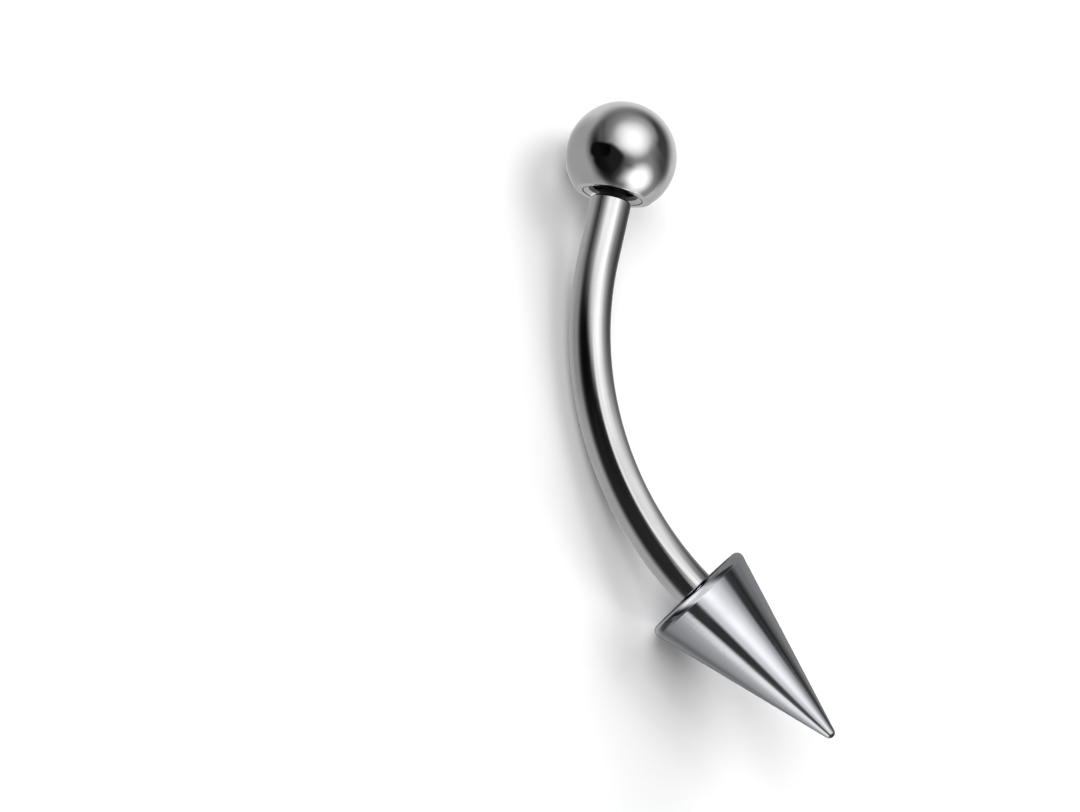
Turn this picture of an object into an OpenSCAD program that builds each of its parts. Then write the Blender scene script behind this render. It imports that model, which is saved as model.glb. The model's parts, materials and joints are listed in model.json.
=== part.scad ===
// Curved barbell for a piercing: a polished steel bar bent in one smooth arc, with a ball
// screwed on one end and a long spike screwed on the other. Millimetres, +Z up.
//
// The parts are built in the bar's own plane: the bow's lowest point is at the origin, the
// ball is towards -X, the spike towards +X, and both ends of the bar curve up towards +Y.
// The finished barbell is then laid down the way it comes to rest by itself, on the ball,
// on the spike's rim and on the outside of the bow.

/* [Bar] */
// Thickness of the bar
bar_d = 1.6; // [1.2:0.1:2]
// Radius of the bend, at the bar's centre line
bend_r = 14.1; // [12:0.1:15]
// Angle that the bar bends through
bend_angle = 56.2; // [50:0.1:60]
// Straight stretch between the bend and the ball's end
ball_straight = 2.33; // [1.5:0.01:3.5]
// Straight stretch between the bend and the spike's end
spike_straight = 0.15; // [0.12:0.01:2]
// Width of the bevel round each shoulder of the bar
shoulder_bevel = 0.07; // [0.03:0.01:0.15]

/* [Posts] */
// Thickness of the post that each end screws on to
post_d = 1.12; // [0.9:0.02:1.16]
// Length of each post, from the bar's shoulder
post_len = 2.1; // [1.6:0.05:2.4]
// Width of the bevel at each post's end
post_bevel = 0.12; // [0.05:0.01:0.2]
// Clearance all round a post in its hole
post_clearance = 0.07; // [0.03:0.01:0.1]
// Depth that each hole goes past the post's end
hole_spare = 0.25; // [0.1:0.05:0.5]

/* [Ball] */
// Diameter of the ball
ball_d = 4.34; // [3.8:0.02:5]
// Height of the flat cut round the mouth, from the ball's centre
ball_cut = 1.6; // [1.5:0.01:1.7]
// Diameter of the countersink at the flat
mouth_d = 2.36; // [2:0.02:2.5]
// Depth of the countersink
mouth_depth = 0.228; // [0.1:0.002:0.3]
// Diameter of the recess at the countersink's bottom
recess_d = 1.65; // [1.6:0.01:1.8]
// Depth of the recess, below the countersink
recess_depth = 0.35; // [0.2:0.05:0.5]
// Distance that the bar's shoulder stays outside the ball's flat
ball_standoff = 0.16; // [0.02:0.01:0.3]

/* [Spike] */
// Diameter of the spike at its rim
spike_d = 4.5; // [4:0.02:5.2]
// Length of the spike from its flat face to its tip
spike_len = 7.66; // [7:0.02:9]
// Radius of the rounded rim
rim_r = 0.25; // [0.05:0.01:0.35]
// Radius of the rounded tip
tip_r = 0.22; // [0.1:0.01:0.3]
// Gap between the bar's shoulder and the spike's flat face
spike_gap = 0.03; // [0.02:0.01:0.1]

/* [Hidden] */
$fn = 96;

// How far a cutting shape passes the surface that it cuts
past = 0.1;

// Each straight end starts this far inside the bend, and its radius is this much smaller
seam_overlap = 0.05;
seam_step = 0.01;

// Number of halvings in each search, fine enough to leave no error that can be measured
halvings = 32;

// The far ends of the searches, as angles in degrees
steepest_roll = 60;
steepest_pitch = 20;

hole_d = post_d + 2 * post_clearance;
half_bend = bend_angle / 2;
bend_centre = [0, bend_r, 0];

// A direction in the bar's plane, from its angle
function heading(angle) = [cos(angle), sin(angle), 0];

// Where the bend ends, and the way that the bar points there
ball_way = -heading(-half_bend);
spike_way = heading(half_bend);
ball_bend_end = bend_centre + bend_r * [-sin(half_bend), -cos(half_bend), 0];
spike_bend_end = bend_centre + bend_r * [sin(half_bend), -cos(half_bend), 0];

// Distances along those two ways, from the bend's ends
ball_offset = ball_straight + ball_standoff + ball_cut;
spike_offset = spike_straight + spike_gap;

// Centres that the outline is measured from
ball_centre = ball_bend_end + ball_offset * ball_way;
rim_centre = spike_bend_end + (spike_offset + rim_r) * spike_way;
tip_centre = spike_bend_end + (spike_offset + spike_len - tip_r) * spike_way;

// How far each form reaches along a unit direction, measured in the bar's plane frame
function reach_of_bow(way) = bend_centre * way + bend_r * norm([way.x, way.y]) + bar_d / 2;
function reach_of_ball(way) = ball_centre * way + ball_d / 2;
function reach_of_rim(way) =
    rim_centre * way + (spike_d / 2 - rim_r) * sqrt(1 - pow(spike_way * way, 2)) + rim_r;
function reach_of_tip(way) = tip_centre * way + tip_r;

// A direction of the room, turned back into the bar's plane frame
function turn_back(way, roll, pitch) =
    let(x = way.x * cos(pitch) - way.z * sin(pitch), z = way.x * sin(pitch) + way.z * cos(pitch))
    [x, way.y * cos(roll) + z * sin(roll), z * cos(roll) - way.y * sin(roll)];

// The way down, for a barbell that is rolled on to its bow and then pitched
function down(roll, pitch) = turn_back([0, 0, -1], roll, pitch);

// How much lower the ball reaches than the rim does, and the bow than the ball
function ball_below_rim(roll, pitch) =
    reach_of_ball(down(roll, pitch)) - reach_of_rim(down(roll, pitch));
function bow_below_ball(roll, pitch) =
    reach_of_bow(down(roll, pitch)) - reach_of_ball(down(roll, pitch));

// The pitch at which ball and rim touch the ground together, for a given roll
function level_pitch(roll, low = -steepest_pitch, high = steepest_pitch, left = halvings) =
    let(middle = (low + high) / 2)
    left == 0 ? middle :
    ball_below_rim(roll, middle) > 0 ? level_pitch(roll, middle, high, left - 1) :
    level_pitch(roll, low, middle, left - 1);

// The roll at which the bow touches the ground as well
function resting_roll(low = 0, high = steepest_roll, left = halvings) =
    let(middle = (low + high) / 2)
    left == 0 ? middle :
    bow_below_ball(middle, level_pitch(middle)) > 0 ? resting_roll(low, middle, left - 1) :
    resting_roll(middle, high, left - 1);

rest_roll = resting_roll();
rest_pitch = level_pitch(rest_roll);

// The resting barbell's reach along a direction of the room, from the bar's origin
function reach_of_ends(way) = max(reach_of_ball(way), reach_of_rim(way), reach_of_tip(way));
function room_reach(way) = reach_of_ends(turn_back(way, rest_roll, rest_pitch));
function bow_reach(way) = reach_of_bow(turn_back(way, rest_roll, rest_pitch));

// The shift that sets the middle of its outline over the origin and its lowest points on
// the ground. Only the ends reach out in X and in +Y, and the bow reaches out in -Y.
shift_x = (room_reach([-1, 0, 0]) - room_reach([1, 0, 0])) / 2;
low_y = max(room_reach([0, -1, 0]), bow_reach([0, -1, 0]));
shift_y = (low_y - room_reach([0, 1, 0])) / 2;
shift_z = room_reach([0, 0, -1]);

module laid_to_rest() {
    translate([shift_x, shift_y, shift_z])
        rotate([0, rest_pitch, 0])
        rotate([rest_roll, 0, 0])
        children();
}

// Places its children at an end of the bend, their +Z along the bar and outwards
module at_ball_end() {
    translate(ball_bend_end)
        rotate([0, 0, -half_bend])
        rotate([0, -90, 0])
        children();
}

module at_spike_end() {
    translate(spike_bend_end)
        rotate([0, 0, half_bend])
        rotate([0, 90, 0])
        children();
}

// One straight end of the bar, turned in one piece: the straight stretch, its bevelled
// shoulder and the post. It starts just inside the bend, a hair thinner than the bend is.
module bar_end(straight) {
    bar_r = bar_d / 2 - seam_step;
    post_r = post_d / 2;
    end = straight + post_len;
    rotate_extrude()
        polygon([
            [0, -seam_overlap],
            [bar_r, -seam_overlap],
            [bar_r, straight - shoulder_bevel],
            [bar_r - shoulder_bevel, straight],
            [post_r, straight],
            [post_r, end - post_bevel],
            [post_r - post_bevel, end],
            [0, end]
        ]);
}

module bent_rod() {
    translate(bend_centre)
        rotate([0, 0, -90 - half_bend])
        rotate_extrude(angle = bend_angle)
        translate([bend_r, 0])
        circle(d = bar_d);
}

module bar() {
    color([0.70, 0.70, 0.71])
        laid_to_rest()
        union() {
            bent_rod();
            at_ball_end() bar_end(ball_straight);
            at_spike_end() bar_end(spike_straight);
        }
}

// The ball stands on its own centre, with the mouth towards -Z
module ball_form() {
    hole_end = ball_cut + ball_standoff - post_len - hole_spare;
    recess_top = ball_cut - mouth_depth - recess_depth;
    difference() {
        sphere(d = ball_d);
        translate([0, 0, -ball_d])
            cylinder(h = ball_d - ball_cut, d = 2 * ball_d);
        translate([0, 0, -ball_cut])
            cylinder(h = mouth_depth, d1 = mouth_d, d2 = recess_d);
        translate([0, 0, -ball_cut])
            cylinder(h = ball_cut - recess_top, d = recess_d);
        translate([0, 0, -ball_cut])
            cylinder(h = ball_cut - hole_end, d = hole_d);
    }
}

module ball() {
    color([0.66, 0.66, 0.67])
        laid_to_rest()
        at_ball_end()
        translate([0, 0, ball_offset])
        ball_form();
}

// Half of the spike's outline, with the axis along Y: a straight flank that runs tangent
// from the rounded rim to the rounded tip
module spike_outline() {
    rim = [spike_d / 2 - rim_r, rim_r];
    tip = [0, spike_len - tip_r];
    run = norm(tip - rim);
    along = (tip - rim) / run;
    lean = asin((rim_r - tip_r) / run);
    outwards = [along.y * cos(lean) + along.x * sin(lean), along.y * sin(lean) - along.x * cos(lean)];
    polygon([[0, 0], [rim.x, 0], rim + rim_r * outwards, tip + tip_r * outwards, tip]);
    translate(rim)
        circle(r = rim_r);
    intersection() {
        translate(tip)
            circle(r = tip_r);
        translate([0, spike_len - 2 * tip_r])
            square([tip_r, 2 * tip_r]);
    }
}

module spike() {
    hole_depth = post_len - spike_gap + hole_spare;
    color([0.74, 0.75, 0.78])
        laid_to_rest()
        at_spike_end()
        translate([0, 0, spike_offset])
        difference() {
            rotate_extrude()
                spike_outline();
            translate([0, 0, -past])
                cylinder(h = hole_depth + past, d = hole_d);
        }
}

bar();
ball();
spike();
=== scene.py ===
# %% [markdown]
# # A curved piercing barbell in polished steel
#
# The real thing is smaller than a fingertip: a bar of surgical steel bent in one smooth
# arc, a ball screwed on one end and a long spike screwed on the other. Nothing on it is
# coloured, so all that the eye gets is the outline and what the polish mirrors.
#
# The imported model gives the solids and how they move. This lesson puts a finer mesh over
# each of the three, cuts the threads that show once an end is unscrewed, gives each piece
# its own polish, and then builds the small studio that the steel mirrors.

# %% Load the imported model
import json
from math import asin, atan2, cos, degrees, pi, radians, sin, sqrt, tan

import bmesh
import bpy
from mathutils import Matrix, Quaternion, Vector


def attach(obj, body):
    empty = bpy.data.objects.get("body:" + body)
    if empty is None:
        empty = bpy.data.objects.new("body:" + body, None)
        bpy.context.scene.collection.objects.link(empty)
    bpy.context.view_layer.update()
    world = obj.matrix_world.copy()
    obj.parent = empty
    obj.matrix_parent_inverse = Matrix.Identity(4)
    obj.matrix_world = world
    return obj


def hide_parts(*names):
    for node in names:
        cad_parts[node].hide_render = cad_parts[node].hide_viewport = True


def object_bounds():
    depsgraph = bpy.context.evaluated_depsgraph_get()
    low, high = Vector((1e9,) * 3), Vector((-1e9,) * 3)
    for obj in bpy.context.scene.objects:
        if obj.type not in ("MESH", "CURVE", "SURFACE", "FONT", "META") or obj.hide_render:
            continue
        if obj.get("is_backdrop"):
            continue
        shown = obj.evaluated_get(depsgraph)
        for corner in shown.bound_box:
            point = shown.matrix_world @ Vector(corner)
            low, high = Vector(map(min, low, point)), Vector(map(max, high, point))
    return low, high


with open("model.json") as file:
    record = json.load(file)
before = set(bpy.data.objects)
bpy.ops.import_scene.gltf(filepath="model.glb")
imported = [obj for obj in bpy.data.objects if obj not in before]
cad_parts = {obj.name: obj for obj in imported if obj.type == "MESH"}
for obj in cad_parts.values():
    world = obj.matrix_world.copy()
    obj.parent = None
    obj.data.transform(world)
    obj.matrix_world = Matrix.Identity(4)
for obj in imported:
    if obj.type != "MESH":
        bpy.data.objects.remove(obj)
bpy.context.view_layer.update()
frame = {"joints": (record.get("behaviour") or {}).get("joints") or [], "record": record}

# %% [markdown]
# ## The bar's own plane
#
# The barbell lies tilted, as it rests on a table, which is an awkward frame to model in.
# The arc is flat, so every piece is modelled in the arc's own plane and laid down at the
# end: the bow's lowest point at the origin, the ball towards -X, the spike towards +X and
# both ends curving up to +Y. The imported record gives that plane: the mount has the bow's
# point and the X direction, and the two slides point along the bar's ends.
#
# Pieces are modelled in millimetres, because a jeweller's sizes read better that way, and
# the matrix that lays a piece down also turns millimetres into Blender's metres.

# %% Read the plane from the record
MM = 0.001

mount = frame["record"]["mounts"][0]
slide_way = {joint["child"]: Vector(joint["axis"]).normalized() for joint in frame["joints"]}

plane_x = Vector(mount["axis"]).normalized()
plane_y = (slide_way["ball"] + slide_way["spike"]).normalized()
plane_z = plane_x.cross(plane_y)
bow_point = Vector(mount["pos_m"])

lay_down = (Matrix.Translation(bow_point)
            @ Matrix((plane_x, plane_y, plane_z)).transposed().to_4x4()
            @ Matrix.Scale(MM, 4))
half_bend = asin(slide_way["ball"].dot(plane_y))
print("the bar bends through", round(2 * degrees(half_bend), 2), "degrees")

# %% [markdown]
# ## Sizes
#
# The named sizes of the solids, in millimetres. The finer meshes repeat them, so that what
# is seen is also what touches in the physics. Only the bar's bevel at the spike's end is
# crisper than the solid's. The solids' hidden fits are drawn as plain cylinders; here the
# same room holds a real thread, which stays clear of the wall that faces it.

# %% Sizes of the steel
bar_r = 0.8
bend_r = 14.1
ball_straight, spike_straight = 2.33, 0.15  # the straight stretch before each shoulder
shoulder_bevel = 0.07  # at the ball's end
crisp_bevel = 0.035  # at the spike's end
post_len, post_bevel = 2.1, 0.12

ball_r = 2.17
ball_cut = 1.6  # from the ball's centre to its flat
mouth_r, mouth_depth = 1.18, 0.228
recess_r, recess_depth = 0.825, 0.35
flat_bevel, mouth_bevel, recess_bevel = 0.05, 0.03, 0.012
ball_standoff = 0.16  # from the bar's shoulder to the flat
hole_spare = 0.25  # how much deeper than its post a hole is
shade_edge_r = 0.98  # inside the countersink, the polish ends and the painted shade starts here

spike_r, spike_len = 2.25, 7.66
rim_r, tip_r = 0.25, 0.22
spike_gap = 0.03

# %% Sizes of the threads
thread_pitch = 0.25
post_core_r, post_crest_r = 0.535, 0.6
hole_crest_r, hole_root_r = 0.63, 0.695
hole_mouth_r = hole_root_r + 0.005
neck_len = 0.3  # the plain root of a post
thread_start = 0.06  # how far inside a hole its thread starts

# %% Where the two straight ends start
def end_frame(start, way):
    """A frame that stands on the bar's centre line, its Z along the way that the bar points."""
    side = Vector((0, 0, 1)).cross(way)
    turn = Matrix((side, Vector((0, 0, 1)), way)).transposed().to_4x4()
    return Matrix.Translation(start) @ turn


ball_way = Vector((-cos(half_bend), sin(half_bend), 0))
spike_way = Vector((cos(half_bend), sin(half_bend), 0))
bend_centre = Vector((0, bend_r, 0))
ball_end = end_frame(bend_centre + bend_r * Vector((-sin(half_bend), -cos(half_bend), 0)), ball_way)
spike_end = end_frame(bend_centre + bend_r * Vector((sin(half_bend), -cos(half_bend), 0)), spike_way)

ball_place = ball_end @ Matrix.Translation((0, 0, ball_straight + ball_standoff + ball_cut))
spike_place = spike_end @ Matrix.Translation((0, 0, spike_straight + spike_gap))
print("ball centre:", [round(1000 * c, 3) for c in (lay_down @ ball_place).translation])

# %% [markdown]
# ## Two hands: one that picks, one that turns
#
# All three parts come off a lathe, so most of the work is one move: pick the open ring at
# the end of the mesh and carry it on along the axis, wider or narrower, as a turner
# follows a drawing. In Blender that is extrude, then resize about the ring's own centre.
#
# Operators act on whatever is selected, so `pick` first drops everything and then selects
# by place, which is the same thing that a modeller does with the mouse.

# %% Select in code, by place
def alone(piece):
    """Only this piece is selected and active."""
    bpy.ops.object.select_all(action="DESELECT")
    piece.select_set(True)
    bpy.context.view_layer.objects.active = piece


def pick(piece, kind, wanted):
    """In edit mode: selects the piece's verts, edges or faces that pass the test."""
    bpy.ops.mesh.select_mode(type={"verts": "VERT", "edges": "EDGE", "faces": "FACE"}[kind])
    bpy.ops.mesh.select_all(action="DESELECT")
    mesh = bmesh.from_edit_mesh(piece.data)
    chosen = [part for part in getattr(mesh, kind) if wanted(part)]
    for part in chosen:
        part.select_set(True)
    bmesh.update_edit_mesh(piece.data)
    return len(chosen)


def on_ring(place, radius, height, slack=0.004):
    """A test for edges that lie on a ring of that radius and height in a turned frame."""
    into = place.inverted()

    def wanted(edge):
        for vert in edge.verts:
            p = into @ vert.co
            if abs(p.z - height) > slack or abs(sqrt(p.x**2 + p.y**2) - radius) > slack:
                return False
        return True

    return wanted

# %% Carry a ring along an outline
def carry_ring(place, outline):
    """Carries the selected ring through the outline's (radius, height) points, of which
    the first is the ring's own."""
    way = place.to_3x3() @ Vector((0, 0, 1))
    for (radius, height), (next_radius, next_height) in zip(outline, outline[1:]):
        step = way * (next_height - height)
        bpy.ops.mesh.extrude_region_move(TRANSFORM_OT_translate={"value": step})
        if next_radius != radius:
            share = next_radius / radius
            bpy.ops.transform.resize(value=(share, share, share),
                                     center_override=place @ Vector((0, 0, next_height)))


def arc(centre, radius, start, end, steps):
    """Points (radius, height) along an arc of an outline, its angles in degrees from the
    outward direction."""
    angles = [radians(start + (end - start) * i / steps) for i in range(steps + 1)]
    return [(centre[0] + radius * cos(a), centre[1] + radius * sin(a)) for a in angles]

# %% Finish a piece
SMOOTH_BELOW = radians(28)


def lay_in_place(piece, place):
    """Shades the piece, lays it down with the matrix in its mesh, and counts it."""
    alone(piece)
    bpy.ops.object.shade_smooth_by_angle(angle=SMOOTH_BELOW)
    piece.matrix_world = lay_down @ place
    bpy.ops.object.transform_apply(location=True, rotation=True, scale=True)
    piece.data.name = piece.name
    print(piece.name, "has", len(piece.data.polygons), "faces")
    return piece


def close_up(piece):
    """Merges what meets and turns every face outwards."""
    bpy.ops.mesh.select_all(action="SELECT")
    bpy.ops.mesh.remove_doubles(threshold=1e-5)
    bpy.ops.mesh.normals_make_consistent(inside=False)
    open_edges = pick(piece, "edges", lambda edge: not edge.is_manifold)
    print(piece.name, "has", open_edges, "open edges")
    bpy.ops.object.mode_set(mode="OBJECT")

# %% [markdown]
# ## The bar
#
# The real bar is a drawn wire, cut and turned at both ends, threaded, bent and polished.
# It could be a curve with a round bevel, but a curve has no shoulders, posts or clean
# ends. A circle spun round the bend's centre gives the arc with an exact round section at
# every step, and the two open rings that it leaves are carried on into the ends.
#
# A mirror shows every wrong normal. A face that runs from a sharp shoulder far along the
# bar would bend the reflections near the shoulder, so the outline has a ring just before
# each edge that takes up the turn.

# %% Bend the bar
RING = 96
BEND_STEPS = 120
TUCK = 0.012  # how far from an edge its extra ring lies

bpy.ops.object.select_all(action="DESELECT")
bpy.ops.mesh.primitive_circle_add(vertices=RING, radius=bar_r, location=ball_end.translation,
                                  rotation=ball_end.to_euler())
bar = bpy.context.object
bar.name = "bar_polished"
bpy.ops.object.transform_apply(location=True, rotation=True, scale=True)
bpy.ops.object.mode_set(mode="EDIT")
bpy.ops.mesh.select_all(action="SELECT")
bpy.ops.mesh.spin(steps=BEND_STEPS, angle=-2 * half_bend, center=bend_centre, axis=(0, 0, 1))
print("spun", len(bmesh.from_edit_mesh(bar.data).verts) // RING, "rings")

# %% Turn the bar's two ends
def end_outline(straight, bevel):
    """The outline of one straight end: the stretch, the bevelled shoulder, the neck, the
    core of the thread and the bevelled tip of the post."""
    end = straight + post_len
    bevel_start = straight - bevel
    rings = 6
    stretch = [(bar_r, bevel_start * i / rings) for i in range(rings)]
    return stretch + [
        (bar_r, bevel_start - TUCK),
        (bar_r, bevel_start),
        (bar_r - 0.17 * bevel, bevel_start + 0.26 * bevel),
        (bar_r - 0.74 * bevel, straight - 0.17 * bevel),
        (bar_r - bevel, straight),
        (bar_r - bevel - TUCK, straight),
        (post_core_r + 0.05, straight),
        (post_core_r + 0.01, straight + 0.01),
        (post_core_r, straight + 0.05),
        (post_core_r, straight + neck_len),
        (post_core_r, end - post_bevel - TUCK),
        (post_core_r, end - post_bevel),
        (post_core_r - 0.11, end - 0.012),
        (post_core_r - 0.13, end),
    ]


for place, straight, bevel in ((ball_end, ball_straight, shoulder_bevel),
                               (spike_end, spike_straight, crisp_bevel)):
    found = pick(bar, "edges", on_ring(place, bar_r, 0))
    carry_ring(place, end_outline(straight, bevel))
    bpy.ops.mesh.edge_face_add()
    print("carried a ring of", found, "edges to the end of a post")
close_up(bar)

# %% [markdown]
# The bar needs a map of its own for the polish: the marks of the polishing wheel run along
# the wire and follow its bend, and no straight coordinate does that. The map is written
# from the shape itself: U goes round the wire, V goes along it, both in millimetres. The
# seam runs along the outside of the bow, which the camera sees edge on.

# %% Write the bar's own map
def around_and_along(p):
    """How far round and how far along the bar a point of the plane frame lies, in mm."""
    turn = atan2(p.x, bend_r - p.y)
    if abs(turn) <= half_bend:
        out = sqrt(p.x**2 + (bend_r - p.y) ** 2) - bend_r
        return atan2(p.z, -out) * bar_r, turn * bend_r
    place = spike_end if turn > 0 else ball_end
    local = place.inverted() @ p
    inwards = local.x if turn > 0 else -local.x
    side = 1 if turn > 0 else -1
    return atan2(p.z, inwards) * bar_r, side * (half_bend * bend_r + local.z)


bar_map = bar.data.uv_layers.new(name="round_and_along")
lap = 2 * pi * bar_r
for face in bar.data.polygons:
    spots = [around_and_along(bar.data.vertices[i].co) for i in face.vertices]
    first = spots[0][0]
    for loop, (u, v) in zip(face.loop_indices, spots):
        u += lap * round((first - u) / lap)
        bar_map.data[loop].uv = (u, v)
lay_in_place(bar, Matrix.Identity(4))
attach(bar, "bar")
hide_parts("bar")

# %% [markdown]
# ## The threads
#
# Each end screws on to a thread of about M1.2, which has a quarter of a millimetre to a
# turn. A bump map would look flat where the thread meets the sky, so the ridge is real: a
# small four-cornered section, wound up with the Screw modifier. The same move, turned
# inside out, lines the holes in the ball and the spike.
#
# A real thread doesn't stop dead. Over the first and last part of a turn the ridge sinks
# back into the core.

# %% Wind a ridge
THREAD_STEPS = 56
FADE = 0.4  # the part of a turn over which a ridge sinks away
FOOT, TOP = 0.42, 0.08  # half the ridge's width at its foot and its top, in pitches
SUNK = 0.3  # how deep the foot sits in the core, in heights of the ridge


def wind_thread(name, place, low, high, root, crest):
    """A ridge wound round the frame's axis between two heights, from root to crest."""
    foot, top = FOOT * thread_pitch, TOP * thread_pitch
    sunk = root + (root - crest) * SUNK
    turns = (high - low - 2 * foot) / thread_pitch
    bpy.ops.object.select_all(action="DESELECT")
    bpy.ops.mesh.primitive_plane_add(size=1, rotation=(pi / 2, 0, 0))
    ridge = bpy.context.object
    ridge.name = name
    bpy.ops.object.transform_apply(location=True, rotation=True, scale=True)
    for vert in ridge.data.vertices:
        outer = vert.co.x > 0
        half = top if outer else foot
        vert.co = (crest if outer else sunk, 0, low + foot + (half if vert.co.z > 0 else -half))
    bpy.ops.object.mode_set(mode="EDIT")
    bpy.ops.mesh.select_all(action="SELECT")
    bpy.ops.mesh.delete(type="ONLY_FACE")
    bpy.ops.object.mode_set(mode="OBJECT")

    screw = ridge.modifiers.new("wind", "SCREW")
    screw.axis, screw.angle, screw.screw_offset = "Z", 2 * pi * turns, thread_pitch * turns
    screw.steps = screw.render_steps = round(THREAD_STEPS * turns)
    bpy.ops.object.modifier_apply(modifier=screw.name)

    for vert in ridge.data.vertices:
        spot = (vert.co.z - low) / thread_pitch
        left = (high - vert.co.z) / thread_pitch
        share = min(1, max(0, min(spot, left) - foot / thread_pitch) / FADE)
        radius = sqrt(vert.co.x**2 + vert.co.y**2)
        goal = root + (radius - root) * share if (radius - root) * (crest - root) > 0 else radius
        vert.co.x, vert.co.y = vert.co.x * goal / radius, vert.co.y * goal / radius

    bpy.ops.object.mode_set(mode="EDIT")
    bpy.ops.mesh.select_all(action="SELECT")
    bpy.ops.mesh.fill_holes(sides=0)
    close_up(ridge)
    return lay_in_place(ridge, place)

# %% Thread both posts
for end, place, straight in (("ball", ball_end, ball_straight), ("spike", spike_end, spike_straight)):
    post_thread = wind_thread(f"{end}_end_thread", place, straight + neck_len,
                              straight + post_len - post_bevel, post_core_r, post_crest_r)
    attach(post_thread, "bar")

# %% [markdown]
# ## The ball
#
# A ball bearing with a flat ground on it, countersunk and drilled. The start is a UV
# sphere, because its rings already lie round the axis of the hole. It is cut with a
# bisect, and the open ring that the cut leaves is carried inwards over the flat, down the
# countersink and its recess, and up the hole.
#
# The edge of the flat is the only sharp line on the ball. Polishing rounds it to a few
# hundredths of a millimetre, and that is what catches the light, so it gets a bevel.

# %% Cut the ball
TURNED = 144  # the corners of a turned ring

bpy.ops.object.select_all(action="DESELECT")
bpy.ops.mesh.primitive_uv_sphere_add(segments=TURNED, ring_count=TURNED * 3 // 4, radius=ball_r)
ball = bpy.context.object
ball.name = "ball_polished"
bpy.ops.object.mode_set(mode="EDIT")
bpy.ops.mesh.select_all(action="SELECT")
bpy.ops.mesh.bisect(plane_co=(0, 0, -ball_cut), plane_no=(0, 0, 1), clear_inner=True,
                    threshold=1e-5)
flat_r = sqrt(ball_r**2 - ball_cut**2)
found = pick(ball, "edges", lambda edge: edge.is_boundary)
print("the cut has", found, "edges, the flat is", round(2 * flat_r, 3), "mm wide")

# %% The outline of a hole
def drilled(bottom, inner_end):
    """The outline of a threaded hole, from its bottom edge to the cone that the drill's
    point of about 118 degrees leaves."""
    return [
        (hole_mouth_r, bottom),
        (hole_root_r, bottom + 0.02),
        (hole_root_r, bottom + 0.1),
        (hole_root_r, inner_end - 0.1),
        (hole_root_r, inner_end),
        (hole_root_r * 0.5, inner_end + hole_root_r * 0.3),
        (0.02, inner_end + hole_root_r * 0.59),
    ]

# %% Sink the mouth and drill the hole
GUARD = 0.045  # how far the mouth's two extra rings lie from its edge

recess_low = -ball_cut + mouth_depth
recess_high = recess_low + recess_depth
ball_hole_end = -ball_cut - ball_standoff + post_len + hole_spare
sink = mouth_depth / (mouth_r - recess_r)
carry_ring(Matrix.Identity(4), [
    (flat_r, -ball_cut),
    (flat_r - flat_bevel, -ball_cut),
    (mouth_r + GUARD, -ball_cut),
    (mouth_r, -ball_cut),
    (mouth_r - GUARD, -ball_cut + GUARD * sink),
    (shade_edge_r, -ball_cut + (mouth_r - shade_edge_r) * sink),
    (recess_r + 0.02, recess_low - 0.02 * sink),
    (recess_r, recess_low),
    (recess_r, recess_low + 0.02),
    (recess_r, recess_high - 0.02),
    (recess_r, recess_high),
    (recess_r - 0.02, recess_high),
] + drilled(recess_high, ball_hole_end))
bpy.ops.mesh.merge(type="CENTER")

# %% Round the mouth's edges
for radius, height, width in ((flat_r, -ball_cut, flat_bevel), (mouth_r, -ball_cut, mouth_bevel),
                              (recess_r, recess_low, recess_bevel)):
    pick(ball, "edges", on_ring(Matrix.Identity(4), radius, height))
    bpy.ops.mesh.bevel(offset=width, segments=3, profile=0.5)
close_up(ball)
lay_in_place(ball, ball_place)
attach(ball, "ball")
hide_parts("ball")

# %% [markdown]
# ## The spike
#
# A cone turned in one pass, with a rim and a tip that are only just rounded, so that it
# doesn't scratch. A cone primitive has no rounding, and a bevel on its apex gives no
# clean round tip, so the outline is followed ring by ring from the mouth of the hole: out
# across the flat face, round the rim, up the flank and over the tip. The flank meets both
# roundings as a tangent, and gets rings of its own, so that its mirror stays straight.

# %% Follow the spike's outline
ARC_STEPS = 12
FLANK_STEPS = 20
FACE_RING_R = 1.2

rim_centre = (spike_r - rim_r, rim_r)
tip_centre = (0, spike_len - tip_r)
run = sqrt(rim_centre[0] ** 2 + (tip_centre[1] - rim_centre[1]) ** 2)
flank_lean = degrees(atan2(rim_centre[0], tip_centre[1] - rim_centre[1]) - asin((tip_r - rim_r) / run))
rim_arc = arc(rim_centre, rim_r, -90, flank_lean, ARC_STEPS)
tip_arc = arc(tip_centre, tip_r, flank_lean, 86, ARC_STEPS)
(flank_low_r, flank_low), (flank_high_r, flank_high) = rim_arc[-1], tip_arc[0]
flank_shares = [0.003] + [i / FLANK_STEPS for i in range(1, FLANK_STEPS)] + [0.998]
flank = [(flank_low_r + (flank_high_r - flank_low_r) * s, flank_low + (flank_high - flank_low) * s)
         for s in flank_shares]
print("the flank leans", round(flank_lean, 2), "degrees")

# %% Turn the spike
bpy.ops.object.select_all(action="DESELECT")
bpy.ops.mesh.primitive_circle_add(vertices=TURNED, radius=hole_mouth_r)
spike = bpy.context.object
spike.name = "spike_polished"
bpy.ops.object.mode_set(mode="EDIT")
bpy.ops.mesh.select_all(action="SELECT")
carry_ring(Matrix.Identity(4), [
    (hole_mouth_r, 0),
    (hole_root_r + 0.03, 0),
    (FACE_RING_R, 0),
    (rim_centre[0] - TUCK, 0),
] + rim_arc + flank + tip_arc)
bpy.ops.mesh.merge(type="CENTER")

# %% Drill the spike
spike_hole_end = post_len - spike_gap + hole_spare
pick(spike, "edges", on_ring(Matrix.Identity(4), hole_mouth_r, 0))
carry_ring(Matrix.Identity(4), drilled(0, spike_hole_end))
bpy.ops.mesh.merge(type="CENTER")
close_up(spike)
lay_in_place(spike, spike_place)
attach(spike, "spike")
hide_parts("spike")

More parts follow.
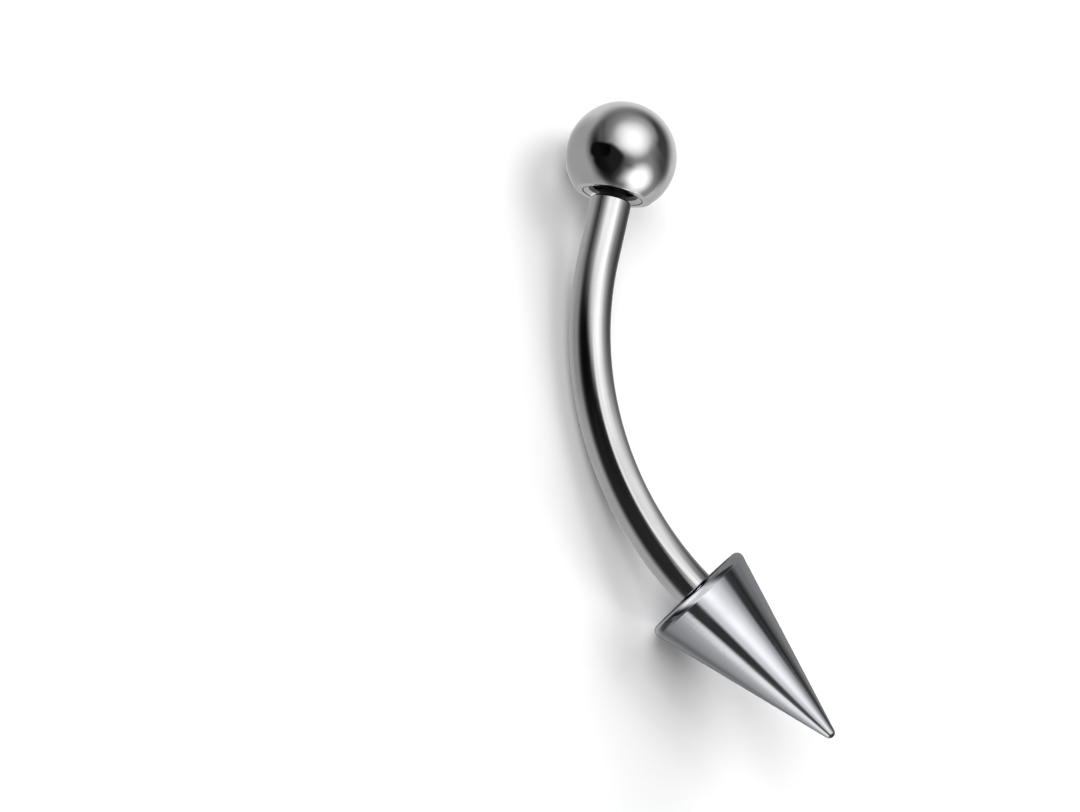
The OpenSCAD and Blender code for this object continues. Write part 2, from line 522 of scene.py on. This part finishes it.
# %% Thread both holes
for end, place, low, high in (("ball", ball_place, recess_high + thread_start, ball_hole_end),
                              ("spike", spike_place, thread_start, spike_hole_end)):
    hole_thread = wind_thread(f"{end}_hole_thread", place, low, high, hole_root_r, hole_crest_r)
    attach(hole_thread, end)

# %% [markdown]
# ## Polish
#
# Polished steel has hardly any colour of its own. What tells one part from another is the
# way that it was worked: the bar was drawn along a wheel and keeps faint lines along its
# length, the spike was turned and keeps rings, and the ball was tumbled and is nearly
# perfect. All three share handling: a soft haze from fingers, and a few fine scratches.
#
# These marks are one node group, because every steel uses them with its own amounts. It
# reads a pattern position in millimetres for the lines and another for the handling, and
# gives out a mask for the haze and a height for the bump.

# %% Build the group of polishing marks
def link(tree, *pairs):
    """Joins (from_socket, to_socket) pairs."""
    for source, goal in pairs:
        tree.links.new(source, goal)


marks = bpy.data.node_groups.new("polishing_marks", "ShaderNodeTree")
for name, kind in (("Lines at", "NodeSocketVector"), ("Handling at", "NodeSocketVector")):
    marks.interface.new_socket(name, in_out="INPUT", socket_type=kind)
for name, default in (("Line strength", 0.5), ("Scratches", 0.3)):
    marks.interface.new_socket(name, in_out="INPUT", socket_type="NodeSocketFloat").default_value = default
for name in ("Haze", "Height"):
    marks.interface.new_socket(name, in_out="OUTPUT", socket_type="NodeSocketFloat")

put = marks.nodes.new
entry, leave = put("NodeGroupInput"), put("NodeGroupOutput")

fine, coarse = put("ShaderNodeTexNoise"), put("ShaderNodeTexNoise")
fine.inputs["Scale"].default_value, fine.inputs["Detail"].default_value = 1.0, 4
coarse.inputs["Scale"].default_value, coarse.inputs["Detail"].default_value = 0.35, 2
haze = put("ShaderNodeTexNoise")
haze.inputs["Scale"].default_value, haze.inputs["Detail"].default_value = 0.55, 5
haze_mask = put("ShaderNodeMapRange")
haze_mask.interpolation_type = "SMOOTHSTEP"
haze_mask.inputs["From Min"].default_value, haze_mask.inputs["From Max"].default_value = 0.42, 0.7

line_sum = put("ShaderNodeMath")
line_sum.operation = "MULTIPLY_ADD"
line_sum.inputs[1].default_value = 0.6

# Scratches are the narrow edges between stretched Voronoi cells
scratch_at = put("ShaderNodeMapping")
scratch_at.inputs["Rotation"].default_value = (0.7, 0.4, 1.1)
scratch_at.inputs["Scale"].default_value = (0.9, 0.12, 0.12)
scratch = put("ShaderNodeTexVoronoi")
scratch.feature = "DISTANCE_TO_EDGE"
scratch.inputs["Scale"].default_value = 1.6
scratch_mask = put("ShaderNodeMapRange")
scratch_mask.inputs["From Min"].default_value, scratch_mask.inputs["From Max"].default_value = 0.0, 0.012
scratch_mask.inputs["To Min"].default_value, scratch_mask.inputs["To Max"].default_value = 1.0, 0.0
scratch_part = put("ShaderNodeMath")
scratch_part.operation = "MULTIPLY"

line_part, total = put("ShaderNodeMath"), put("ShaderNodeMath")
line_part.operation, total.operation = "MULTIPLY", "SUBTRACT"
print("the marks have", len(marks.nodes), "nodes")

# %% Join the nodes of the marks
link(marks,
     (entry.outputs["Lines at"], fine.inputs["Vector"]),
     (entry.outputs["Lines at"], coarse.inputs["Vector"]),
     (entry.outputs["Handling at"], haze.inputs["Vector"]),
     (entry.outputs["Handling at"], scratch_at.inputs["Vector"]),
     (scratch_at.outputs["Vector"], scratch.inputs["Vector"]),
     (scratch.outputs["Distance"], scratch_mask.inputs["Value"]),
     (scratch_mask.outputs["Result"], scratch_part.inputs[0]),
     (entry.outputs["Scratches"], scratch_part.inputs[1]),
     (haze.outputs["Fac"], haze_mask.inputs["Value"]),
     (coarse.outputs["Fac"], line_sum.inputs[0]),
     (fine.outputs["Fac"], line_sum.inputs[2]),
     (line_sum.outputs["Value"], line_part.inputs[0]),
     (entry.outputs["Line strength"], line_part.inputs[1]),
     (line_part.outputs["Value"], total.inputs[0]),
     (scratch_part.outputs["Value"], total.inputs[1]),
     (haze_mask.outputs["Result"], leave.inputs["Haze"]),
     (total.outputs["Value"], leave.inputs["Height"]))
print("the marks have", len(marks.links), "links")

# %% [markdown]
# A steel is then the group with its own numbers and one Principled BSDF. The colour drifts
# a little with the haze, the roughness rises a little in it, and the height goes through a
# Bump node. The distances are real: a polishing line on this steel is well under a
# thousandth of a millimetre deep.

# %% Make a steel
RELIEF = 0.0006


def make_steel(name, clean, hazed, smooth, rough, line_scale, line_strength, scratches,
               place=None, uv_map=None):
    """A polished steel. Its lines follow a frame of the room, or a piece's own map."""
    steel = bpy.data.materials.new(name)
    steel.use_nodes = True
    tree = steel.node_tree
    tree.nodes.clear()
    put = tree.nodes.new
    into = (lay_down @ place).inverted() if place else Matrix.Scale(1 / MM, 4)
    at = put("ShaderNodeTexCoord")
    centred = put("ShaderNodeMapping")
    centred.inputs["Location"].default_value = into.translation
    centred.inputs["Rotation"].default_value = into.to_euler()
    centred.inputs["Scale"].default_value = into.to_scale()
    stretched = put("ShaderNodeMapping")
    stretched.inputs["Scale"].default_value = line_scale
    group = put("ShaderNodeGroup")
    group.node_tree = marks
    group.inputs["Line strength"].default_value = line_strength
    group.inputs["Scratches"].default_value = scratches

    colour = put("ShaderNodeMix")
    colour.data_type = "RGBA"
    colour.inputs["A"].default_value = (*clean, 1)
    colour.inputs["B"].default_value = (*hazed, 1)
    gloss = put("ShaderNodeMapRange")
    gloss.inputs["To Min"].default_value, gloss.inputs["To Max"].default_value = smooth, rough
    relief = put("ShaderNodeBump")
    relief.inputs["Strength"].default_value = 1.0
    relief.inputs["Distance"].default_value = RELIEF * MM
    shader = put("ShaderNodeBsdfPrincipled")
    shader.inputs["Metallic"].default_value = 1.0
    output = put("ShaderNodeOutputMaterial")

    pattern = centred.outputs["Vector"]
    if uv_map:
        own_map = put("ShaderNodeUVMap")
        own_map.uv_map = uv_map
        pattern = own_map.outputs["UV"]
    link(tree,
         (at.outputs["Object"], centred.inputs["Vector"]),
         (pattern, stretched.inputs["Vector"]),
         (stretched.outputs["Vector"], group.inputs["Lines at"]),
         (centred.outputs["Vector"], group.inputs["Handling at"]),
         (group.outputs["Haze"], colour.inputs["Factor"]),
         (group.outputs["Haze"], gloss.inputs["Value"]),
         (group.outputs["Height"], relief.inputs["Height"]),
         (colour.outputs["Result"], shader.inputs["Base Color"]),
         (gloss.outputs["Result"], shader.inputs["Roughness"]),
         (relief.outputs["Normal"], shader.inputs["Normal"]),
         (shader.outputs["BSDF"], output.inputs["Surface"]))
    return steel

# %% Put a steel on a piece, or on some of its faces
def coat(piece, steel):
    """Gives the whole piece one finish."""
    piece.data.materials.clear()
    piece.data.materials.append(steel)


def coat_where(piece, steel, place, wanted):
    """Gives another finish to the faces whose radius and height in a frame pass the test."""
    piece.data.materials.append(steel)
    slot = len(piece.data.materials) - 1
    into = (lay_down @ place).inverted()
    count = 0
    for face in piece.data.polygons:
        p = into @ face.center
        if wanted(sqrt(p.x**2 + p.y**2), p.z):
            face.material_index = slot
            count += 1
    print(piece.name, "has", count, "faces in", steel.name)

# %% The steels of the parts
bar_steel = make_steel("bar_steel", (0.62, 0.62, 0.625), (0.58, 0.58, 0.582), 0.05, 0.08,
                       (14, 0.25, 1), 0.5, 0.25, uv_map="round_and_along")
ball_steel = make_steel("ball_steel", (0.62, 0.62, 0.622), (0.58, 0.58, 0.58), 0.04, 0.07,
                        (0.8, 0.8, 0.8), 0.6, 0.25, place=ball_place)
spike_steel = make_steel("spike_steel", (0.605, 0.615, 0.645), (0.565, 0.577, 0.607), 0.05, 0.09,
                         (0.3, 0.3, 12), 0.5, 0.25, place=spike_place)
coat(bar, bar_steel)
coat(ball, ball_steel)
coat(spike, spike_steel)

# %% [markdown]
# The polishing wheel never reaches the roots of the posts, the mouth of the ball or the
# holes. The threads stay as the tool cut them. The necks of the posts, the deep part of the ball's
# countersink with its recess, and a thin line round the mouth get near-black painted shade, which is why
# the joint at the ball reads as a dark band.

# %% The cut steels, and the painted shade at the joints
NUDGE, HAIR = 0.01, 0.001  # how far a test reaches past an edge
SHADE_LINE_HALF = 0.024  # half the width of the painted dark line of shade round the mouth

for end, place, straight in (("ball", ball_end, ball_straight), ("spike", spike_end, spike_straight)):
    cut_steel = make_steel(f"{end}_thread_steel", (0.4, 0.4, 0.41), (0.3, 0.3, 0.31), 0.2, 0.32,
                           (1, 1, 16), 0.8, 0.4, place=place)
    # Painted shade: a near-black colour that stands in for the shade in the corners of the joints
    painted_shade = make_steel(f"{end}_polishing_black", (0.075, 0.075, 0.078), (0.12, 0.12, 0.122), 0.35, 0.55,
                       (2, 2, 2), 0.6, 0.2, place=place)
    for part in ("end", "hole"):
        coat(bpy.data.objects[f"{end}_{part}_thread"], cut_steel)
    root_end = straight + neck_len
    coat_where(bar, cut_steel, place, lambda r, z: z > root_end and r < bar_r)
    # Painted shade on each post's neck and on the face of its shoulder
    coat_where(bar, painted_shade, place, lambda r, z: straight - HAIR < z <= root_end and r < bar_r)
    if end == "ball":
        coat_where(ball, cut_steel, ball_place,
                   lambda r, z: r < hole_root_r + NUDGE and z < ball_hole_end + hole_root_r)
        # Painted shade in the deep part of the countersink and in the recess
        coat_where(ball, painted_shade, ball_place,
                   lambda r, z: hole_root_r + NUDGE < r < shade_edge_r and z < recess_high + NUDGE)
        # A painted dark line of shade round the mouth's edge
        coat_where(ball, painted_shade, ball_place,
                   lambda r, z: abs(r - mouth_r) < SHADE_LINE_HALF and z < -ball_cut + mouth_bevel)
    else:
        coat_where(spike, cut_steel, spike_place,
                   lambda r, z: r < hole_root_r + NUDGE and z < spike_hole_end + hole_root_r)

# %% [markdown]
# ## The camera
#
# The photograph looks down on the barbell from some fifty degrees above the table, with
# the camera turned on its side, so that the ball is at the top and the spike at the
# bottom. A long lens keeps the ends from growing. The camera's place and its three angles
# come from a least-squares fit of the barbell's outline to the photograph's.

# %% Set the camera
CAMERA_AT = Vector((9.018, -79.233, 93.736)) * MM
AZIMUTH, ELEVATION, ROLL = radians(-8.31), radians(51.059), radians(69.89)

look = Vector((sin(AZIMUTH) * cos(ELEVATION), cos(AZIMUTH) * cos(ELEVATION), -sin(ELEVATION)))
camera_data = bpy.data.cameras.new("camera")
camera_data.lens, camera_data.sensor_width = 105, 36
camera_data.clip_start, camera_data.clip_end = 0.005, 50
camera = bpy.data.objects.new("camera", camera_data)
bpy.context.scene.collection.objects.link(camera)
camera.rotation_mode = "QUATERNION"
camera.rotation_quaternion = look.to_track_quat("-Z", "Y") @ Quaternion((0, 0, 1), ROLL)
camera.location = CAMERA_AT
bpy.context.scene.camera = camera

view_turn = camera.rotation_quaternion.to_matrix()
camera_right, camera_up, camera_back = view_turn.col[0], view_turn.col[1], view_turn.col[2]

# %% [markdown]
# ## The floor
#
# The barbell lies on white paper that runs on without a horizon. The paper takes a soft
# shadow, which is all that says "table", and it is left out of reflections: the steel
# mirrors the grey that the studio below gives it, which is easier to set than real paper.

# %% Lay the paper
FLOOR_SIZE = 6

bpy.ops.object.select_all(action="DESELECT")
bpy.ops.mesh.primitive_plane_add(size=FLOOR_SIZE)
floor = bpy.context.object
floor.name = "floor"
paper = bpy.data.materials.new("white_paper")
paper.use_nodes = True
paper_shader = paper.node_tree.nodes["Principled BSDF"]
paper_shader.inputs["Base Color"].default_value = (0.95, 0.95, 0.955, 1)
paper_shader.inputs["Roughness"].default_value = 1.0
paper_shader.inputs["Specular IOR Level"].default_value = 0.0
coat(floor, paper)
floor.visible_glossy = False
floor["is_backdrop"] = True

# %% [markdown]
# ## Five softboxes and a sky
#
# The shadow in the picture is soft, and darkest close to the left of each part. One large
# softbox stands high on the ball's side and another on the far side of the bow; they make
# most of it. One near the top darkens what lies right below the steel, and two low ones
# draw the shadow out a little. A weak sky keeps the darkest places from going black. The
# sum of all is a little above white, as in a catalogue picture, where the paper has no
# tone left.
#
# These only light the paper. What the steel mirrors comes from the cards below, so rays
# that leave a mirror find the sky black and the softboxes absent.

# %% Hang the softboxes
WHITE = 1.04


def hang_softbox(name, around, up, half_angle, share, distance=0.5):
    """A square lamp that gives the paper a share of its white. Its direction is in degrees
    from the room's +X and up from the table, and its half angle is seen from the middle."""
    a, e = radians(around), radians(up)
    way = Vector((cos(a) * cos(e), sin(a) * cos(e), sin(e)))
    data = bpy.data.lights.new(name, "AREA")
    data.shape, data.size = "SQUARE", 2 * distance * tan(radians(half_angle))
    # Seen from far off, an area lamp of W watts lights paper like W / (4 pi distance^2)
    data.energy = WHITE * share * 4 * pi * distance**2 / way.z
    lamp = bpy.data.objects.new(name, data)
    bpy.context.scene.collection.objects.link(lamp)
    lamp.location = way * distance
    lamp.rotation_euler = way.to_track_quat("Z", "Y").to_euler()
    lamp.visible_glossy = False
    print(name, "has", round(data.energy, 2), "W")


hang_softbox("main_softbox", 225, 55, 22, 0.43)
hang_softbox("side_softbox", 118, 47, 17, 0.21)
hang_softbox("top_softbox", 120, 65, 14, 0.14)
hang_softbox("low_softbox", 150, 15, 10, 0.07)
hang_softbox("rim_softbox", 30, 25, 10, 0.1)

# %% Light the sky
SKY_SHARE = 0.05

world = bpy.data.worlds.new("studio")
bpy.context.scene.world = world
world.use_nodes = True
sky = world.node_tree
put = sky.nodes.new
ray, sky_output = put("ShaderNodeLightPath"), sky.nodes["World Output"]
fill_light = sky.nodes["Background"]
behind, black = put("ShaderNodeBackground"), put("ShaderNodeBackground")
fill_light.inputs["Color"].default_value = (1, 1, 1, 1)
fill_light.inputs["Strength"].default_value = WHITE * SKY_SHARE
behind.inputs["Color"].default_value = (1, 1, 1, 1)
black.inputs["Color"].default_value = (0, 0, 0, 1)
for_mirrors, for_camera = put("ShaderNodeMixShader"), put("ShaderNodeMixShader")
link(sky,
     (ray.outputs["Is Glossy Ray"], for_mirrors.inputs[0]),
     (fill_light.outputs["Background"], for_mirrors.inputs[1]),
     (black.outputs["Background"], for_mirrors.inputs[2]),
     (ray.outputs["Is Camera Ray"], for_camera.inputs[0]),
     (for_mirrors.outputs["Shader"], for_camera.inputs[1]),
     (behind.outputs["Background"], for_camera.inputs[2]),
     (for_camera.outputs["Shader"], sky_output.inputs["Surface"]))
bpy.context.scene.view_settings.view_transform = "Standard"

# %% [markdown]
# ## Cards for a mirror
#
# Polished steel has no shading to speak of. It shows its studio, so the studio is drawn
# with care: a bright key card, a fill card, black flags that give the dark shapes their
# crisp edge, and the grey of the table below.
#
# A picture of jewellery is often put together from several exposures, each lit for one
# part, and no one studio was found here that suits all three. So the ball, the bar and the
# spike each have a dome of cards of their own, and light linking lets a dome shine on its
# own part alone.
#
# A card is a rounded rectangle on the dome with a soft edge. It is one node group, used
# for every card: it reads the direction from the middle of the dome, and gives out a mask
# that is 1 on the card.

# %% Build the group of a card
card = bpy.data.node_groups.new("soft_card", "ShaderNodeTree")
for name in ("Direction", "Towards", "Across", "Upwards"):
    card.interface.new_socket(name, in_out="INPUT", socket_type="NodeSocketVector")
for name in ("Half width", "Half height", "Corner", "Inside", "Outside"):
    card.interface.new_socket(name, in_out="INPUT", socket_type="NodeSocketFloat")
card.interface.new_socket("Mask", in_out="OUTPUT", socket_type="NodeSocketFloat")

put = card.nodes.new
entry, leave = put("NodeGroupInput"), put("NodeGroupOutput")


def calculate(tree, kind, *terms):
    """A Math node on sockets and plain numbers, and its result."""
    node = tree.nodes.new("ShaderNodeMath")
    node.operation = kind
    for term, socket in zip(terms, node.inputs):
        if isinstance(term, (int, float)):
            socket.default_value = term
        else:
            tree.links.new(term, socket)
    return node.outputs["Value"]


def dot(tree, first, second):
    """The dot product of two vector sockets."""
    node = tree.nodes.new("ShaderNodeVectorMath")
    node.operation = "DOT_PRODUCT"
    link(tree, (first, node.inputs[0]), (second, node.inputs[1]))
    return node.outputs["Value"]


NEAR_EDGE_ON = 0.03

ahead = dot(card, entry.outputs["Direction"], entry.outputs["Towards"])
depth = calculate(card, "MAXIMUM", ahead, NEAR_EDGE_ON)
raised = []
for way, half in (("Across", "Half width"), ("Upwards", "Half height")):
    offset = calculate(card, "ABSOLUTE", dot(card, entry.outputs["Direction"], entry.outputs[way]))
    share = calculate(card, "DIVIDE", calculate(card, "DIVIDE", offset, depth), entry.outputs[half])
    raised.append(calculate(card, "POWER", share, entry.outputs["Corner"]))
reach = calculate(card, "POWER", calculate(card, "ADD", *raised),
                  calculate(card, "DIVIDE", 1.0, entry.outputs["Corner"]))
edge = put("ShaderNodeMapRange")
edge.interpolation_type = "SMOOTHSTEP"
edge.inputs["To Min"].default_value, edge.inputs["To Max"].default_value = 1.0, 0.0
facing = calculate(card, "GREATER_THAN", ahead, NEAR_EDGE_ON)
link(card,
     (reach, edge.inputs["Value"]),
     (entry.outputs["Inside"], edge.inputs["From Min"]),
     (entry.outputs["Outside"], edge.inputs["From Max"]),
     (calculate(card, "MULTIPLY", edge.outputs["Result"], facing), leave.inputs["Mask"]))
print("a card has", len(card.nodes), "nodes")

# %% [markdown]
# Directions are given the way that a photographer would say them from behind the camera:
# so many degrees round to the right, 0 being the camera's own side and 180 the far side
# beyond the table, and so many degrees up.
#
# Each row of a table below is one card: its direction, its half width and half height in
# degrees, how far it is turned, how soft its edge is, how bright it is, and how square its
# corners are. A later card covers the earlier ones. Before the cards come the room's grey,
# the table's grey, the direction of the table and how soft the horizon is.
#
# Most of these numbers weren't chosen by hand. A least-squares fit, run outside this
# script, moved the cards until the greys that each part mirrors came close to those in the
# photograph, and its results were copied into the tables. A few cards were added or
# changed afterwards.

# %% Raise a dome
def seen_from_camera(around, up):
    """The world direction of a place in the studio, in degrees from the camera."""
    a, e = radians(around), radians(up)
    return camera_right * (sin(a) * cos(e)) + camera_up * sin(e) + camera_back * (cos(a) * cos(e))


def raise_dome(name, radius, background, cards):
    """A dome of cards that only mirrors see."""
    bpy.ops.object.select_all(action="DESELECT")
    bpy.ops.mesh.primitive_uv_sphere_add(segments=48, ring_count=24, radius=radius)
    dome = bpy.context.object
    dome.name = f"{name}_dome"
    shine = bpy.data.materials.new(f"{name}_cards")
    shine.use_nodes = True
    tree = shine.node_tree
    tree.nodes.clear()
    put = tree.nodes.new
    at, way = put("ShaderNodeTexCoord"), put("ShaderNodeVectorMath")
    way.operation = "NORMALIZE"
    link(tree, (at.outputs["Object"], way.inputs[0]))

    # The table's grey on one side and the room's on the other
    room, table, around, up, soft = background
    below = put("ShaderNodeVectorMath")
    below.operation = "DOT_PRODUCT"
    below.inputs[1].default_value = seen_from_camera(around, up)
    horizon = put("ShaderNodeMapRange")
    horizon.interpolation_type = "SMOOTHSTEP"
    horizon.inputs["From Min"].default_value, horizon.inputs["From Max"].default_value = -soft, soft
    horizon.inputs["To Min"].default_value, horizon.inputs["To Max"].default_value = room, table
    link(tree, (way.outputs["Vector"], below.inputs[0]), (below.outputs["Value"], horizon.inputs["Value"]))
    light = horizon.outputs["Result"]

    for around, up, half_width, half_height, turn, soft, level, corner in cards:
        towards = seen_from_camera(around, up)
        level_across = camera_up.cross(towards).normalized()
        turned = Matrix.Rotation(radians(turn), 3, towards)
        across = turned @ level_across
        node = put("ShaderNodeGroup")
        node.node_tree = card
        node.inputs["Towards"].default_value = towards
        node.inputs["Across"].default_value = across
        node.inputs["Upwards"].default_value = towards.cross(across)
        node.inputs["Half width"].default_value = tan(radians(half_width))
        node.inputs["Half height"].default_value = tan(radians(half_height))
        node.inputs["Corner"].default_value = corner
        node.inputs["Inside"].default_value = 1 - soft
        node.inputs["Outside"].default_value = 1 + soft
        link(tree, (way.outputs["Vector"], node.inputs["Direction"]))
        laid_on = put("ShaderNodeMix")
        laid_on.data_type = "FLOAT"
        laid_on.inputs["B"].default_value = level
        link(tree, (node.outputs["Mask"], laid_on.inputs["Factor"]), (light, laid_on.inputs["A"]))
        light = laid_on.outputs["Result"]

    glow, clear = put("ShaderNodeEmission"), put("ShaderNodeBsdfTransparent")
    both = put("ShaderNodeAddShader")
    link(tree,
         (light, glow.inputs["Strength"]),
         (glow.outputs["Emission"], both.inputs[0]),
         (clear.outputs["BSDF"], both.inputs[1]),
         (both.outputs["Shader"], put("ShaderNodeOutputMaterial").inputs["Surface"]))
    shine.cycles.emission_sampling = "NONE"
    coat(dome, shine)
    dome.visible_camera = dome.visible_diffuse = dome.visible_shadow = False
    dome.visible_transmission = dome.visible_volume_scatter = False
    dome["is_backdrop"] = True
    return dome


def shine_only_on(dome, *pieces):
    """Links the dome's light to these pieces."""
    lit = bpy.data.collections.new(f"lit_by_{dome.name}")
    for piece in pieces:
        lit.objects.link(piece)
    dome.light_linking.receiver_collection = lit

# %% [markdown]
# The ball sees nearly the whole studio. The key card and the fill card are its two bright
# spots, and the black flag between the lamp and the lens gives the dark patch with a crisp
# upper left edge. The rest is the table's grey, which closes round it like a horizon.

# %% Light the ball
ball_dome = raise_dome("ball", 1.0, (0.0659, 0.8398, -149.9, -23.5, 0.329), [
    (14.3, 51.2, 34.2, 56.5, 154, 0.98, 0.4114, 2.2),  # ceiling
    (29.7, -23.9, 79.3, 62.0, 128, 0.36, 0.3455, 2.2),  # wide glow below
    (32.9, 41.2, 43.6, 33.8, 26, 0.54, 0.6811, 2.2),  # halo of the key
    (28.1, 34.2, 24.3, 26.6, -14, 0.98, 1.777, 2.6),  # key
    (52.9, -45.9, 18.5, 22.1, 35, 0.98, 2.164, 2.2),  # fill, low on the right
    (-2.5, -39.3, 30.9, 12.1, -21, 0.98, 2.199, 2.2),  # small fill below
    (97.6, -10.5, 14.6, 29.8, 55, 0.98, 0.084, 2.2),  # dark arc on the right
    (-108.2, -3.1, 65.5, 52.1, 48, 0.46, 0.4923, 2.2),  # grey on the left
    (-20.9, -28.1, 32.3, 39.1, -41, 0.69, 0.057, 2.2),  # smoke below the flag
    (-27.9, -6.5, 27.4, 28.0, -42, 0.20, 0.0192, 4.0),  # flag
    (-45.9, 12.0, 22.3, 14.3, -5, 0.20, 0.002, 3.0),  # the flag's core
    (-53.3, 3.2, 15.8, 58.5, 19, 0.98, 0.0069, 2.2),  # the flag's left edge
    (-178.0, -32.0, 40.0, 32.0, 0, 0.90, 0.58, 2.2),  # grey for the flat round the mouth
    (140.0, -80.0, 16.0, 16.0, 0, 0.60, 2, 2.2),  # light for the countersink
])
shine_only_on(ball_dome, ball, bpy.data.objects["ball_hole_thread"])

# %% [markdown]
# On a round bar each place in the studio becomes a stripe along it: grey from the table,
# black from the flag, white from the key and then a long fade. Cards narrower than about
# twelve degrees would draw hard lines here, so only two soft ones are.

# %% Light the bar
bar_dome = raise_dome("bar", 1.2, (0.0331, 0.5296, -156.7, -36.7, 0.259), [
    (82.2, 21.8, 40.8, 13.4, -1, 0.98, 1.883, 2.2),  # strip on the right
    (-71.4, 13.2, 43.5, 16.5, 9, 0.62, 0.3743, 2.2),  # grey on the left
    (69.5, 22.5, 54.4, 12.0, -26, 0.73, 1.181, 2.2),  # fade to the right
    (116.9, -9.2, 44.7, 38.6, -3, 0.98, 0.0686, 2.2),  # dim far side
    (-9.5, 35.0, 34.3, 13.8, 2, 0.30, 2.556, 2.2),  # strip above
    (26.7, 6.5, 27.0, 12.0, 26, 0.30, 1.622, 2.2),  # key
    (17.5, 18.5, 15.0, 6.0, -8, 0.98, 1.5, 2.2),  # joins the strip to the key
    (-1.5, 13.2, 17.0, 4.2, 16, 0.45, 0.0314, 2.2),  # the flag's tail
    (-46.8, -5.9, 23.7, 60.0, 1, 0.93, 0.0265, 3.0),  # flag
    (-32.3, 16.0, 29.9, 13.9, 11, 0.82, 0.005, 2.2),  # the flag's core
])
shine_only_on(bar_dome, bar, bpy.data.objects["ball_end_thread"], bpy.data.objects["spike_end_thread"])

# %% [markdown]
# On a cone the stripes run together at the tip. Two narrow dark cards draw the dark rays
# that make the flank look sharp, on either side of the bright one.

# %% Light the spike
spike_dome = raise_dome("spike", 1.4, (0.9754, 0.0927, -191.5, -54.2, 0.143), [
    (81.3, 64.6, 42.7, 55.4, -17, 0.64, 0.0446, 2.2),  # dark hood above
    (-74.6, 31.7, 32.0, 17.6, -5, 0.44, 1.368, 2.2),  # strip on the left
    (-69.2, -9.6, 65.1, 19.6, -29, 0.70, 0.02, 2.2),  # dark strip below it
    (179.0, -1.5, 9.0, 9.0, 0, 0.40, 0.0281, 2.2),  # dark spot for the flat face
    (-152.7, -0.6, 18.7, 38.1, 0, 0.98, 0.5263, 2.2),  # grey behind
    (-110.1, -65.1, 38.0, 11.5, 14, 0.98, 0.3343, 2.2),  # grey, low on the left
    (-133.0, -77.8, 42.0, 13.3, -42, 0.17, 0.6042, 2.2),  # paler strip under it
    (-53.1, -38.8, 46.2, 9.2, -37, 0.18, 0.1654, 2.2),  # dark strip, low in front
    (-34.7, -67.1, 3.0, 22.7, -49, 0.48, 1.266, 2.2),  # narrow bright strip, low
    (-7.4, -43.5, 3.9, 21.3, -60, 0.21, 0.045, 2.2),  # narrow dark slit
    (27.0, -14.1, 20.9, 3.0, 30, 0.94, 1.634, 2.2),  # narrow white strip
    (86.6, 18.5, 29.5, 3.4, -3, 0.98, 0.03, 2.2),  # narrow dark strip on the right
    (76.4, 15.5, 8.1, 1.5, 16, 0.61, 0.048, 2.2),  # dark line within it
    (162.0, 50.6, 42.5, 50.1, -33, 0.25, 0.3018, 2.2),  # grey behind, above
])
shine_only_on(spike_dome, spike, bpy.data.objects["spike_hole_thread"])

# %% Write the sizes and finish
low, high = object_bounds()
print("visual box in mm:", [round(1000 * side, 3) for side in high - low])
